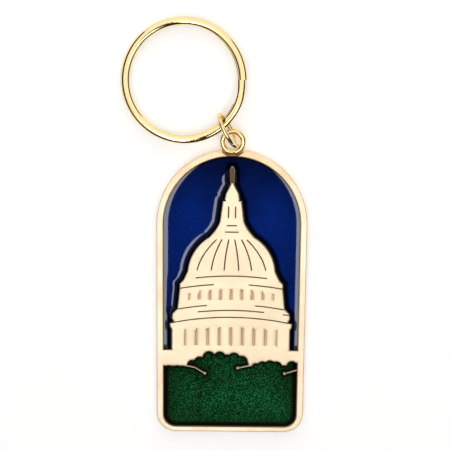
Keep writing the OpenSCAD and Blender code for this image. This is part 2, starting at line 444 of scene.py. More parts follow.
def sample_grid(step):
    """Coordinates of a grid over the plate."""
    xs = np.arange(-PLATE_HALF - step, PLATE_HALF + 2 * step, step)
    ys = np.arange(PLATE_END - step, PLATE_HIGH.y + 2 * step, step)
    return xs, ys


def contour(field, level, xs, ys):
    """Points and edges of the line where a sampled field passes a level."""
    value = field - level
    below = value < 0
    rows, columns = np.nonzero(below[:, :-1] != below[:, 1:])
    share = value[rows, columns] / (value[rows, columns] - value[rows, columns + 1])
    flat = np.stack([xs[columns] + share * (xs[1] - xs[0]), ys[rows]], 1)
    across = np.full((len(ys), len(xs) - 1), -1)
    across[rows, columns] = np.arange(len(rows))
    rows, columns = np.nonzero(below[:-1, :] != below[1:, :])
    share = value[rows, columns] / (value[rows, columns] - value[rows + 1, columns])
    upright = np.stack([xs[columns], ys[rows] + share * (ys[1] - ys[0])], 1)
    along = np.full((len(ys) - 1, len(xs)), -1)
    along[rows, columns] = len(flat) + np.arange(len(rows))
    sides = np.stack([across[:-1], along[:, :-1], across[1:], along[:, 1:]], -1).reshape(-1, 4)
    count = (sides >= 0).sum(1)
    ordered = -np.sort(-sides[count == 2], 1)[:, :2]
    full = sides[count == 4]
    edges = np.concatenate([ordered, full[:, :2], full[:, 2:]])
    return np.concatenate([flat, upright]), edges


def signed_area(corners, faces):
    """Twice each triangle's area, positive where it turns left."""
    a, b, c = (corners[faces[:, i]] for i in range(3))
    return (b[:, 0] - a[:, 0]) * (c[:, 1] - a[:, 1]) - (b[:, 1] - a[:, 1]) * (c[:, 0] - a[:, 0])


class Drawing:
    """Points and edges gathered for one triangulation."""

    def __init__(self):
        self.points, self.edges, self.total = [], [], 0

    def add(self, points, edges=()):
        """Adds points, and edges between them by number."""
        points = np.asarray(points, float).reshape(-1, 2)
        edges = np.asarray(edges, int).reshape(-1, 2)
        self.points.append(points)
        self.edges.append(edges + self.total)
        self.total += len(points)

    def add_line(self, points, closed=False):
        """Adds a run of points joined one to the next."""
        count = len(points)
        edges = [(i, (i + 1) % count) for i in range(count if closed else count - 1)]
        self.add(points, edges)

    def triangles(self, keep):
        """Triangulates, and keeps the triangles whose centre passes a test."""
        points = [Vector(p) for p in np.concatenate(self.points)]
        edges = [tuple(e) for e in np.concatenate(self.edges).tolist()]
        found = delaunay_2d_cdt(points, edges, [], 0, 1e-4)
        corners = np.array([tuple(p) for p in found[0]])
        faces = np.array([f for f in found[2] if len(f) == 3])
        middle = corners[faces].mean(1)
        faces = faces[keep(middle[:, 0], middle[:, 1])]
        area = signed_area(corners, faces)
        faces, area = faces[np.abs(area) > 1e-9], area[np.abs(area) > 1e-9]
        faces[area < 0] = faces[area < 0][:, ::-1]
        used = np.unique(faces)
        renumber = np.full(len(corners), -1)
        renumber[used] = np.arange(len(used))
        return corners[used], renumber[faces]


def line_rails(line, offset, cap_steps=5):
    """A closed loop at one distance round an open line, with round ends."""
    points = np.array(line)
    run = np.gradient(points, axis=0)
    run /= np.linalg.norm(run, axis=1)[:, None]
    side = np.stack([-run[:, 1], run[:, 0]], 1)
    caps = []
    for index, sign in ((-1, 1), (0, -1)):
        start = math.atan2(sign * side[index][1], sign * side[index][0])
        turns = [start - math.pi * i / cap_steps for i in range(1, cap_steps)]
        caps.append(points[index] + offset * np.array([(math.cos(t), math.sin(t)) for t in turns]))
    there, back = points + offset * side, (points - offset * side)[::-1]
    return np.concatenate([there, caps[0], back, caps[1]])


def fine_line(line, step):
    """The same line with points no further apart than a step."""
    made = []
    for start, stop in zip(line, line[1:]):
        count = max(1, math.ceil(math.dist(start, stop) / step))
        made += [(start[0] + (stop[0] - start[0]) * i / count,
                  start[1] + (stop[1] - start[1]) * i / count) for i in range(count)]
    return made + [line[-1]]


def surface_normals(height, x, y, reach=0.012):
    """Normals of a height function, by its slopes."""
    slope_x = (height(x + reach, y) - height(x - reach, y)) / (2 * reach)
    slope_y = (height(x, y + reach) - height(x, y - reach)) / (2 * reach)
    normals = np.stack([-slope_x, -slope_y, np.ones_like(slope_x)], 1)
    return normals / np.linalg.norm(normals, axis=1)[:, None]


def open_loop(faces):
    """The edges that only one triangle has, in its own direction."""
    edges = np.concatenate([faces[:, [0, 1]], faces[:, [1, 2]], faces[:, [2, 0]]])
    known = {tuple(e) for e in edges.tolist()}
    return np.array([e for e in known if (e[1], e[0]) not in known])


def closed_solid(top, faces, rings, floor, keep):
    """Closes a sheet of triangles with rings of points below its edge and a flat underside.
    A ring is a function that gives the new points for the edge's points."""
    edge = open_loop(faces)
    rim = np.unique(edge)
    place = np.full(len(top), -1)
    place[rim] = np.arange(len(rim))
    run = place[edge]
    points, made = [top], [faces]
    upper, total = rim, len(top)
    for ring in rings:
        points.append(ring(top[rim]))
        lower = total + np.arange(len(rim))
        a, b = run[:, 0], run[:, 1]
        made.append(np.stack([upper[b], upper[a], lower[a]], 1))
        made.append(np.stack([upper[b], lower[a], lower[b]], 1))
        upper, total = lower, total + len(rim)
    last = points[-1]
    found = delaunay_2d_cdt([Vector(p) for p in last[:, :2]], run.tolist(), [], 0, 1e-6)
    corners = np.array([tuple(p) for p in found[0]])
    source = np.array([origin[0] for origin in found[3]])
    under = np.array([f for f in found[2] if len(f) == 3])
    middle = corners[under].mean(1)
    under = under[keep(middle[:, 0], middle[:, 1])]
    upward = signed_area(corners, under) > 0
    under[upward] = under[upward][:, ::-1]
    made.append(upper[source[under]])
    points[-1][:, 2] = floor
    return np.concatenate(points), np.concatenate(made), rim


# ---------------------------------------------------------------- meshes


def mesh_from(name, points, faces):
    """A smooth mesh from points in millimetres."""
    mesh = bpy.data.meshes.new(name)
    mesh.from_pydata((np.asarray(points) * MM).tolist(), [], faces.tolist())
    mesh.shade_smooth()
    return mesh


def set_normals(mesh, normals):
    """Gives the first vertices their own normals; a zero keeps the mesh's."""
    everything = np.zeros((len(mesh.vertices), 3))
    everything[: len(normals)] = normals
    mesh.normals_split_custom_set_from_vertices(everything.tolist())


def set_values(mesh, name, values):
    """Gives the first vertices a value each, and zero to the rest."""
    everything = np.zeros(len(mesh.vertices))
    everything[: len(values)] = values
    mesh.attributes.new(name, "FLOAT", "POINT").data.foreach_set("value", everything)


def plate_rings(sizes):
    """Rings that carry the plate's top edge round, down the side and under."""
    radius = sizes.edge_radius / MM

    def outward(rim, reach, height):
        x, y = rim[:, 0], rim[:, 1]
        step = 1e-3
        lean_x = (arch_distance(x + step, y, PLATE_HALF, PLATE_END, CORNER)
                  - arch_distance(x - step, y, PLATE_HALF, PLATE_END, CORNER))
        lean_y = (arch_distance(x, y + step, PLATE_HALF, PLATE_END, CORNER)
                  - arch_distance(x, y - step, PLATE_HALF, PLATE_END, CORNER))
        length = np.hypot(lean_x, lean_y)
        x, y = x + reach * lean_x / length, y + reach * lean_y / length
        return np.stack([x, y, np.minimum(height, seat_height(x, y))], 1)

    quarter = [math.radians(a) for a in (18, 36, 54, 72, 90)]
    steps = [(radius * math.sin(a), PLATE_TOP - radius * (1 - math.cos(a))) for a in quarter]
    steps += [(radius, PLATE_TOP / 2 + 0.3), (radius, PLATE_TOP / 2 - 0.3)]
    steps += [(radius * math.cos(a), radius * (1 - math.sin(a))) for a in [0.0] + quarter]
    return [lambda rim, reach=r, height=h: outward(rim, reach, height) for r, h in steps]


def plate_drawing(sizes):
    """Everything that the plate's struck face has to follow."""
    drawing = Drawing()
    xs, ys = sample_grid(0.12)
    x, y = np.meshgrid(xs, ys)
    edge = arch_distance(x, y, PLATE_HALF, PLATE_END, CORNER)
    drawing.add(*contour(edge, -sizes.edge_radius / MM, xs, ys))
    gap = pocket_distance(x, y)
    for level in (-WALL_WIDTH, 0, 0.05, 0.12, 0.25, 0.45, 0.75, 1.1):
        drawing.add(*contour(gap, level, xs, ys))
    sunk = panel_distance(x, y)
    for level in (-PANEL_WALL, -PANEL_WALL / 2, 0, 0.06):
        drawing.add(*contour(sunk, level, xs, ys))
    half = sizes.groove_half / MM
    for line in LINES:
        fine = fine_line(line, 0.25)
        drawing.add_line(fine)
        for share in (0.25, 0.5, 0.75, 1, 1.25):
            drawing.add_line(line_rails(fine, share * half), closed=True)
    turns = np.linspace(0, 2 * math.pi, 90, endpoint=False)
    for aside in (0, 0.2, 0.4, 0.5, SEAT_RADIUS - 0.01, SEAT_RADIUS + 0.01, 0.7, 0.85, 1.07):
        for radius in {LOOP_MID + aside, LOOP_MID - aside}:
            ring = np.stack([radius * np.cos(turns), LOOP_Y + radius * np.sin(turns)], 1)
            drawing.add_line(ring, closed=True)
    return drawing


def plate_mesh(sizes):
    """The struck plate as one closed mesh."""

    def height(x, y):
        return metal_height(x, y, sizes)

    def on_top(x, y):
        return arch_distance(x, y, PLATE_HALF, PLATE_END, CORNER) < -sizes.edge_radius / MM

    flat, faces = plate_drawing(sizes).triangles(on_top)
    x, y = flat[:, 0], flat[:, 1]
    top = np.column_stack([flat, height(x, y)])
    points, made, rim = closed_solid(top, faces, plate_rings(sizes), 0, on_top)
    mesh = mesh_from("fob_relief", points, made)
    normals = surface_normals(height, x, y)
    normals[rim] = 0
    set_normals(mesh, normals)
    groove = np.clip(1 - line_distance(x, y) / (sizes.groove_half / MM), 0, 1)
    # Painted shade: the finial is darkened away from its edges, which stay light.
    painted_finial_shade = finial_share(x, y) * smooth(sky_distance(x, y) / 0.2)
    twig = (twig_distance(x, y) < 0.02) * (shrub_distance(x, y) < 0)
    # One mask for patina in the struck lines, panels and twigs, and for painted shade on the
    # finial.
    stain_and_shade = [groove, 0.4 * panel_share(x, y), painted_finial_shade, 0.4 * twig]
    set_values(mesh, "patina_and_painted_shade", np.max(stain_and_shade, axis=0))
    set_values(mesh, "relief", smooth((-cell_distance(x, y) - 0.02) / 0.1))
    # An orange tint round the loop's foot, and painted warm reflection that grows towards the top
    # of the arch.
    braze = np.exp(-((np.hypot(x, y - LOOP_Y) - LOOP_MID - 0.6) / 1.2).clip(0) ** 2)
    painted_arch_reflection = 0.45 * smooth((y - ARCH_Y - 3) / 9)
    set_values(mesh, "braze", np.maximum(braze, painted_arch_reflection) * (cell_distance(x, y) > -0.1))
    return mesh


# The green enamel climbs this share of what the blue does
LAWN_RISE = 0.3


def sky_climb(x, y, sizes):
    """Share of the set rise that the blue enamel climbs: less to the right of the building,
    beside its lower storeys and round its tip."""
    aside = 1 - sizes.lee * smooth(x / 2 + 0.5)
    low = 0.2 + 0.8 * smooth((y - LEDGE_Y - 6) / 4)
    return aside * low * (1 - 0.9 * smooth((y - LEDGE_Y - FINIAL_FOOT - 1) / 2.5))


def lawn_climb(x, y, sizes):
    """Share of the set rise that the green enamel climbs: the same all over."""
    return np.full(np.shape(x), LAWN_RISE)


def enamel_mesh(name, cell, relief, climb, rim_share, sizes):
    """A field of enamel that fills a cell and climbs its walls. relief gives the distance to
    the struck design's own walls inside the cell. climb gives the share of the set rise
    there, and rim_share is the share at the rim."""
    reach = sizes.creep_reach / MM
    level = ENAMEL_LEVEL - sizes.enamel_sink / MM

    def height(x, y):
        from_rim = np.maximum(-cell_distance(x, y), 0)
        from_relief = np.maximum(relief(x, y), 0)
        share = climb(x, y, sizes)
        at_rim = sizes.rim_creep / MM * np.exp(-from_rim / (sizes.rim_reach / MM))
        at_relief = share * sizes.relief_creep / MM * np.exp(-from_relief / (share * reach))
        return level + rim_share * at_rim + at_relief

    def inside(x, y):
        return cell(x, y) < 0

    drawing = Drawing()
    xs, ys = sample_grid(0.15)
    x, y = np.meshgrid(xs, ys)
    field = cell(x, y)
    for line in (0, -0.12, -0.26, -0.42, -0.6, -0.8, -1.02, -1.26, -1.55, -1.9, -2.4, -3.1):
        drawing.add(*contour(field, line, xs, ys))
    coarse_x, coarse_y = np.meshgrid(np.arange(-CELL_HALF, CELL_HALF, 0.9),
                                     np.arange(CELL_END, SKY_HIGH.y, 0.9))
    deep = cell(coarse_x, coarse_y) < -3.3
    drawing.add(np.stack([coarse_x[deep], coarse_y[deep]], 1))
    flat, faces = drawing.triangles(inside)
    x, y = flat[:, 0], flat[:, 1]
    top = np.column_stack([flat, height(x, y)])
    foot = CELL_FLOOR - 0.02
    skirt = [lambda rim: np.column_stack([rim[:, :2], np.full(len(rim), foot)])]
    points, made, _ = closed_solid(top, faces, skirt, foot, inside)
    mesh = mesh_from(name, points, made)
    set_normals(mesh, surface_normals(height, x, y))
    set_values(mesh, "from_rim", np.clip(-cell_distance(x, y), 0, 8))
    set_values(mesh, "from_relief", np.clip(relief(x, y), 0, 8))
    return mesh


def relief_in_sky(x, y):
    """Distance from the sky to the building or the ledge."""
    return np.minimum(polygon_distance(x, y, BUILDING), y - LEDGE_Y)


def relief_in_lawn(x, y):
    """Distance from the lawn to the ledge's edge or a twig."""
    return np.minimum(-shrub_distance(x, y), twig_distance(x, y))


# ---------------------------------------------------------------- node building


def add(tree, kind, inputs=None, **settings):
    """Adds a node, with its settings and its inputs: a socket is linked, a value is set."""
    node = tree.nodes.new(kind)
    node.location = (190 * (len(tree.nodes) % 12), -230 * (len(tree.nodes) // 12))
    for key, value in settings.items():
        setattr(node, key, value)
    for key, value in (inputs or {}).items():
        if isinstance(value, bpy.types.NodeSocket):
            tree.links.new(value, node.inputs[key])
        else:
            node.inputs[key].default_value = value
    return node


def calc(tree, operation, first, second=0.0, third=0.0, clamp=False):
    """Adds a math node and gives its result."""
    node = add(tree, "ShaderNodeMath", {0: first, 1: second, 2: third}, operation=operation,
               use_clamp=clamp)
    return node.outputs[0]


def new_tree(name, kind, inputs, outputs):
    """Makes a node group with named sockets, and gives it with its input and output nodes."""
    tree = bpy.data.node_groups.new(name, kind)
    for label, socket, default in inputs:
        made = tree.interface.new_socket(label, in_out="INPUT", socket_type=socket)
        if default is not None:
            made.default_value = default
    for label, socket in outputs:
        tree.interface.new_socket(label, in_out="OUTPUT", socket_type=socket)
    return tree, tree.nodes.new("NodeGroupInput"), tree.nodes.new("NodeGroupOutput")


def wire_tree():
    """Node group for a bent wire: an arc or coil of flattened or round wire that can drop
    from one level to another part of the way along, and sets off sideways after it."""
    length = "NodeSocketFloat"
    tree, given, out = new_tree("Bent wire", "GeometryNodeTree", [
        ("Geometry", "NodeSocketGeometry", None), ("Radius", length, 0.01),
        ("Width", length, 0.001), ("Height", length, 0.001), ("Roundness", length, 1.0),
        ("Start", length, 0.0), ("Sweep", length, 6.283), ("Drop from", length, 0.0),
        ("Drop over", length, 1.0), ("Drop", length, 0.0), ("Sideways", length, 0.0),
        ("Steps", "NodeSocketInt", 200), ("Closed", "NodeSocketBool", False),
        ("Material", "NodeSocketMaterial", None),
    ], [("Geometry", "NodeSocketGeometry")])
    value = given.outputs
    line = add(tree, "GeometryNodeMeshLine", {"Count": value["Steps"]})
    index = add(tree, "GeometryNodeInputIndex").outputs[0]
    gaps = calc(tree, "SUBTRACT", value["Steps"], 1.0)
    open_share = calc(tree, "DIVIDE", index, gaps)
    closed_share = calc(tree, "DIVIDE", index, value["Steps"])
    share = add(tree, "GeometryNodeSwitch", {"Switch": value["Closed"], "False": open_share,
                                             "True": closed_share}, input_type="FLOAT").outputs[0]
    angle = calc(tree, "MULTIPLY_ADD", share, value["Sweep"], value["Start"])
    over = calc(tree, "DIVIDE", calc(tree, "SUBTRACT", angle, value["Drop from"]),
                value["Drop over"], clamp=True)
    eased = add(tree, "ShaderNodeMapRange", {"Value": over}, interpolation_type="SMOOTHSTEP")
    sideways = calc(tree, "MULTIPLY", calc(tree, "SUBTRACT", eased.outputs[0], 0.5),
                    value["Sideways"])
    x = calc(tree, "MULTIPLY_ADD", calc(tree, "COSINE", angle), value["Radius"], sideways)
    y = calc(tree, "MULTIPLY", calc(tree, "SINE", angle), value["Radius"])
    fall = calc(tree, "MULTIPLY", calc(tree, "SUBTRACT", 0.5, eased.outputs[0]), value["Drop"])
    place = add(tree, "ShaderNodeCombineXYZ", {0: x, 1: y, 2: fall}).outputs[0]
    bent = add(tree, "GeometryNodeSetPosition", {"Geometry": line.outputs[0], "Position": place})
    curve = add(tree, "GeometryNodeMeshToCurve", {"Mesh": bent.outputs[0]})
    looped = add(tree, "GeometryNodeSetSplineCyclic",
                 {"Geometry": curve.outputs[0], "Cyclic": value["Closed"]})
    upright = add(tree, "GeometryNodeSetCurveNormal", {"Curve": looped.outputs[0]}, mode="Z_UP")
    section = add(tree, "GeometryNodeCurvePrimitiveCircle", {"Resolution": 40, "Radius": 1.0})
    around = add(tree, "ShaderNodeSeparateXYZ",
                 {0: add(tree, "GeometryNodeInputPosition").outputs[0]})
    sides = []
    for axis, size in ((0, "Width"), (1, "Height")):
        part = around.outputs[axis]
        bulge = calc(tree, "POWER", calc(tree, "ABSOLUTE", part), value["Roundness"])
        signed = calc(tree, "MULTIPLY", calc(tree, "SIGN", part), bulge)
        sides.append(calc(tree, "MULTIPLY", signed, calc(tree, "MULTIPLY", value[size], 0.5)))
    pressed = add(tree, "ShaderNodeCombineXYZ", {0: sides[0], 1: sides[1]}).outputs[0]
    rounded = add(tree, "GeometryNodeSetPosition",
                  {"Geometry": section.outputs[0], "Position": pressed})
    swept = add(tree, "GeometryNodeCurveToMesh",
                {"Curve": upright.outputs[0], "Profile Curve": rounded.outputs[0],
                 "Fill Caps": True})
    real = add(tree, "GeometryNodeRealizeInstances", {"Geometry": swept.outputs[0]})
    finished = add(tree, "GeometryNodeSetMaterial",
                   {"Geometry": real.outputs[0], "Material": value["Material"]})
    tree.links.new(finished.outputs[0], out.inputs[0])
    return tree


def column_tree():
    """Node group for a row of half-round columns, each with a foot and a head block, under a
    curved line: the columns get shorter away from the middle of the row."""
    length = "NodeSocketFloat"
    tree, given, out = new_tree("Column row", "GeometryNodeTree", [
        ("Geometry", "NodeSocketGeometry", None), ("Count", "NodeSocketInt", 10),
        ("Pitch", length, 0.002), ("Width", length, 0.0016), ("Height", length, 0.004),
        ("Fall", length, 10.0), ("Depth", length, 0.0003), ("Block", length, 0.0003),
        ("Material", "NodeSocketMaterial", None),
    ], [("Geometry", "NodeSocketGeometry")])
    value = given.outputs
    last = calc(tree, "SUBTRACT", value["Count"], 1.0)
    first_x = calc(tree, "MULTIPLY", calc(tree, "MULTIPLY", last, value["Pitch"]), -0.5)
    start = add(tree, "ShaderNodeCombineXYZ", {0: first_x}).outputs[0]
    step = add(tree, "ShaderNodeCombineXYZ", {0: value["Pitch"]}).outputs[0]
    row = add(tree, "GeometryNodeMeshLine",
              {"Count": value["Count"], "Start Location": start, "Offset": step})
    across = add(tree, "ShaderNodeSeparateXYZ",
                 {0: add(tree, "GeometryNodeInputPosition").outputs[0]}).outputs[0]
    fall = calc(tree, "MULTIPLY", calc(tree, "MULTIPLY", across, across), value["Fall"])
    tall = calc(tree, "SUBTRACT", value["Height"], fall)
    half = calc(tree, "MULTIPLY", value["Width"], 0.5)
    middle = calc(tree, "MULTIPLY", tall, 0.5)
    shaft = add(tree, "GeometryNodeMeshCylinder",
                {"Vertices": 32, "Radius": 1.0, "Depth": 1.0}, fill_type="NGON")
    laid = add(tree, "GeometryNodeTransform",
               {"Geometry": shaft.outputs[0], "Rotation": (math.pi / 2, 0, 0)})
    shaft_size = add(tree, "ShaderNodeCombineXYZ", {0: half, 1: tall, 2: value["Depth"]})
    shaft_place = add(tree, "ShaderNodeCombineXYZ", {1: middle})
    block = add(tree, "GeometryNodeMeshCube", {"Size": (1, 1, 1)})
    block_width = calc(tree, "MULTIPLY", value["Width"], 1.04)
    block_deep = calc(tree, "MULTIPLY", value["Depth"], 1.76)
    block_size = add(tree, "ShaderNodeCombineXYZ",
                     {0: block_width, 1: value["Block"], 2: block_deep})
    head_y = calc(tree, "SUBTRACT", tall, calc(tree, "MULTIPLY", value["Block"], 0.5))
    head_place = add(tree, "ShaderNodeCombineXYZ", {1: head_y})
    foot_place = add(tree, "ShaderNodeCombineXYZ",
                     {1: calc(tree, "MULTIPLY", value["Block"], 0.5)})
    joined = add(tree, "GeometryNodeJoinGeometry")
    for shape, size, place in ((laid, shaft_size, shaft_place), (block, block_size, head_place),
                               (block, block_size, foot_place)):
        moved = add(tree, "GeometryNodeSetPosition",
                    {"Geometry": row.outputs[0], "Offset": place.outputs[0]})
        points = add(tree, "GeometryNodeInstanceOnPoints",
                     {"Points": moved.outputs[0], "Instance": shape.outputs[0],
                      "Scale": size.outputs[0]})
        tree.links.new(points.outputs[0], joined.inputs[0])
    real = add(tree, "GeometryNodeRealizeInstances", {"Geometry": joined.outputs[0]})
    finished = add(tree, "GeometryNodeSetMaterial",
                   {"Geometry": real.outputs[0], "Material": value["Material"]})
    tree.links.new(finished.outputs[0], out.inputs[0])
    return tree


def grown(name, tree, values):
    """A plain mesh made by a Geometry Nodes group with these inputs."""
    seed = bpy.data.objects.new(name, bpy.data.meshes.new(name))
    bpy.context.scene.collection.objects.link(seed)
    modifier = seed.modifiers.new(tree.name, "NODES")
    modifier.node_group = tree
    for item in tree.interface.items_tree:
        if item.in_out == "INPUT" and item.name in values:
            modifier[item.identifier] = values[item.name]
    seed.update_tag()
    graph = bpy.context.evaluated_depsgraph_get()
    mesh = bpy.data.meshes.new_from_object(seed.evaluated_get(graph), depsgraph=graph)
    bpy.data.objects.remove(seed)
    if len(mesh.polygons) == 0:
        raise ValueError(f"the node group {tree.name} made no faces for {name}")
    mesh.name = name
    mesh.shade_smooth()
    mesh.set_sharp_from_angle(angle=math.radians(50))
    return mesh


# ---------------------------------------------------------------- shader groups


def tone_group():
    """Shader group for metal plate: its tone varies softly, and fine scratches and pits roughen
    it."""
    real = "NodeSocketFloat"
    tree, given, out = new_tree("Plate finish", "ShaderNodeTree", [
        ("Colour", "NodeSocketColor", (0.9, 0.75, 0.45, 1)),
        ("Warm", "NodeSocketColor", (0.85, 0.6, 0.3, 1)), ("Warmth", real, 0.3),
        ("Roughness", real, 0.3), ("Grain", real, 2500.0), ("Grain height", real, 0.1),
    ], [("Colour", "NodeSocketColor"), ("Roughness", real), ("Normal", "NodeSocketVector")])
    value = given.outputs
    place = add(tree, "ShaderNodeTexCoord").outputs["Object"]
    cloud = add(tree, "ShaderNodeTexNoise", {"Vector": place, "Scale": 190.0, "Detail": 4.0})
    drift = add(tree, "ShaderNodeMapRange", {"Value": cloud.outputs[0], "From Min": 0.4,
                                             "From Max": 0.7})
    amount = calc(tree, "MULTIPLY", drift.outputs[0], value["Warmth"])
    toned = add(tree, "ShaderNodeMix", {0: amount, 6: value["Colour"], 7: value["Warm"]},
                data_type="RGBA")
    grain = add(tree, "ShaderNodeTexNoise", {"Vector": place, "Scale": value["Grain"],
                                             "Detail": 3.0})
    fine = add(tree, "ShaderNodeMapRange", {"Value": grain.outputs[0], "From Min": 0.3,
                                            "From Max": 0.7, "To Min": -0.05, "To Max": 0.05})
    blur = calc(tree, "ADD", value["Roughness"], fine.outputs[0])
    blur = calc(tree, "MULTIPLY_ADD", drift.outputs[0], 0.06, blur)
    bump = add(tree, "ShaderNodeBump", {"Height": grain.outputs[0], "Distance": 0.00002,
                                        "Strength": value["Grain height"]})
    tree.links.new(toned.outputs[2], out.inputs[0])
    tree.links.new(blur, out.inputs[1])
    tree.links.new(bump.outputs[0], out.inputs[2])
    return tree


def enamel_shade_group():
    """Shader group for enamel: full colour away from the walls, painted shade against them (a dark
    band, and a broad darkening that fades out a few millimetres away), painted shade towards the
    top of the field, soft random patches, and a fine grain that shows through from the metal
    below."""
    real = "NodeSocketFloat"
    tree, given, out = new_tree("Enamel tone and painted shade", "ShaderNodeTree", [
        ("Colour", "NodeSocketColor", (0.0, 0.02, 0.2, 1)),
        ("Painted shade colour", "NodeSocketColor", (0.0, 0.0, 0.01, 1)),
        ("Spark colour", "NodeSocketColor", (0.1, 0.2, 0.3, 1)),
        ("Rim shade reach", real, 0.6), ("Relief shade reach", real, 1.2), ("Grain", real, 4000.0),
        ("Sparkle", real, 0.5), ("Gloss", real, 1.0), ("Top shade from", real, 0.01),
        ("Top shade to", real, 0.03), ("Top shade share", real, 1.0),
    ], [("Colour", "NodeSocketColor"), ("Gloss", real)])
    value = given.outputs
    place = add(tree, "ShaderNodeTexCoord").outputs["Object"]
    from_rim = add(tree, "ShaderNodeAttribute", attribute_name="from_rim").outputs["Fac"]
    from_relief = add(tree, "ShaderNodeAttribute", attribute_name="from_relief").outputs["Fac"]
    # Painted shade: a dark band against the rim and against the relief, and a broad darkening to
    # 0.55 beside them that fades out by 6 mm.
    shares = []
    for away, shade_reach in ((from_rim, "Rim shade reach"), (from_relief, "Relief shade reach")):
        near = calc(tree, "MULTIPLY", value[shade_reach], 0.45)
        ramp = add(tree, "ShaderNodeMapRange", {"Value": away, "From Min": near,
                                                "From Max": value[shade_reach]},
                   interpolation_type="SMOOTHSTEP")
        far = add(tree, "ShaderNodeMapRange", {"Value": away, "From Min": 0.5, "From Max": 6.0,
                                               "To Min": 0.55})
        shares.append(calc(tree, "MULTIPLY", ramp.outputs[0], far.outputs[0]))
    # depth here is the share left after the painted shade: 0 in full shade, 1 in full colour.
    depth = calc(tree, "MULTIPLY", *shares)
    cloud = add(tree, "ShaderNodeTexNoise", {"Vector": place, "Scale": 110.0, "Detail": 2.0})
    patch = add(tree, "ShaderNodeMapRange", {"Value": cloud.outputs[0], "From Min": 0.3,
                                             "From Max": 0.7, "To Min": 0.7, "To Max": 1.0})
    # Painted shade: the colour fades by the set share towards the top of the field.
    along = add(tree, "ShaderNodeSeparateXYZ", {0: place}).outputs[1]
    deep = add(tree, "ShaderNodeMapRange", {"Value": along, "From Min": value["Top shade from"],
                                            "From Max": value["Top shade to"], "To Min": 1.0,
                                            "To Max": value["Top shade share"]},
               interpolation_type="SMOOTHSTEP")
    # full is the share of full colour, lowered by the painted shade and by soft random patches.
    full = calc(tree, "MULTIPLY", calc(tree, "MULTIPLY", depth, patch.outputs[0]),
                deep.outputs[0])
    grain = add(tree, "ShaderNodeTexNoise", {"Vector": place, "Scale": value["Grain"],
                                             "Detail": 2.0})
    spark = add(tree, "ShaderNodeMapRange", {"Value": grain.outputs[0], "From Min": 0.53,
                                             "From Max": 0.63})
    speck = calc(tree, "MULTIPLY", calc(tree, "MULTIPLY", spark.outputs[0], value["Sparkle"]),
                 full)
    base = add(tree, "ShaderNodeMix", {0: full, 6: value["Painted shade colour"], 7: value["Colour"]},
               data_type="RGBA")
    lit = add(tree, "ShaderNodeMix", {0: speck, 6: base.outputs[2], 7: value["Spark colour"]},
              data_type="RGBA")
    tree.links.new(lit.outputs[2], out.inputs[0])
    clear = add(tree, "ShaderNodeMapRange", {"Value": from_relief, "From Min": 0.95,
                                             "From Max": 1.15, "To Min": 0.12, "To Max": 1.0})
    tree.links.new(calc(tree, "MULTIPLY", value["Gloss"], clear.outputs[0]), out.inputs[1])
    return tree


# ---------------------------------------------------------------- materials


def shader(name):
    """A material with a fresh tree, and the tree and its Principled shader."""
    material = bpy.data.materials.new(name)
    material.use_nodes = True
    tree = material.node_tree
    surface = next(n for n in tree.nodes if n.type == "BSDF_PRINCIPLED")
    return material, tree, surface


def link_into(tree, surface, pairs):
    """Links output sockets into named inputs of a shader."""
    for name, socket in pairs.items():
        tree.links.new(socket, surface.inputs[name])


def metal_material(name, colour, warm, warmth, roughness, grain, grain_height):
    """Plated metal with the shared finish."""
    material, tree, surface = shader(name)
    finish = add(tree, "ShaderNodeGroup", node_tree=shared("Plate finish", tone_group))
    settings = {"Colour": colour, "Warm": warm, "Warmth": warmth, "Roughness": roughness,
                "Grain": grain, "Grain height": grain_height}
    for label, value in settings.items():
        finish.inputs[label].default_value = value
    surface.inputs["Metallic"].default_value = 1.0
    link_into(tree, surface, {"Base Color": finish.outputs["Colour"],
                              "Roughness": finish.outputs["Roughness"],
                              "Normal": finish.outputs["Normal"]})
    return material, tree, surface, finish


def shared(name, make):
    """A node group by name, made the first time that it is asked for."""
    return bpy.data.node_groups.get(name) or make()


def plate_material(colours):
    """Satin relief inside a bright rim, with patina in the struck lines, painted shade on the
    finial, an orange tint round the loop's foot, painted warm reflection towards the top of the
    arch and painted warm shade low on the columns.
    """
    material, tree, surface, finish = metal_material(
        "Struck plate", colours.rim_gold, (0.93, 0.68, 0.42, 1), 0.4, 0.46, 3000.0, 0.25)
    relief = add(tree, "ShaderNodeAttribute", attribute_name="relief").outputs["Fac"]
    patina_and_painted_shade = add(tree, "ShaderNodeAttribute", attribute_name="patina_and_painted_shade").outputs["Fac"]
    braze = add(tree, "ShaderNodeAttribute", attribute_name="braze").outputs["Fac"]
    satin = add(tree, "ShaderNodeMix", {0: relief, 6: finish.outputs["Colour"],
                                        7: tuple(colours.relief_gold)}, data_type="RGBA")
    # Mix towards dark brown: patina in the struck lines, panels and twigs, and painted shade on
    # the finial.
    stain_and_shade_share = add(tree, "ShaderNodeMapRange", {"Value": patina_and_painted_shade, "From Min": 0.2, "From Max": 0.8,
                                             "To Max": 0.95})
    stain_and_shade = add(tree, "ShaderNodeMix", {0: stain_and_shade_share.outputs[0], 6: satin.outputs[2],
                                          7: (0.1, 0.05, 0.018, 1)}, data_type="RGBA")
    # Mix towards the warm tint: orange round the loop's foot, painted warm reflection on the arch,
    # and painted warm shade low on the columns.
    tint = calc(tree, "MULTIPLY", braze, 0.7)
    tinted = add(tree, "ShaderNodeMix", {0: tint, 6: stain_and_shade.outputs[2],
                                         7: tuple(colours.braze)}, data_type="RGBA")
    duller = calc(tree, "MULTIPLY_ADD", relief, 0.04, finish.outputs["Roughness"])
    link_into(tree, surface, {"Base Color": tinted.outputs[2], "Roughness": duller})
    return material


def wire_material(name, colours, warmth, roughness):
    """Bright plated wire."""
    return metal_material(name, colours.wire_gold, (0.93, 0.62, 0.28, 1), warmth, roughness,
                          1800.0, 0.04)[0]


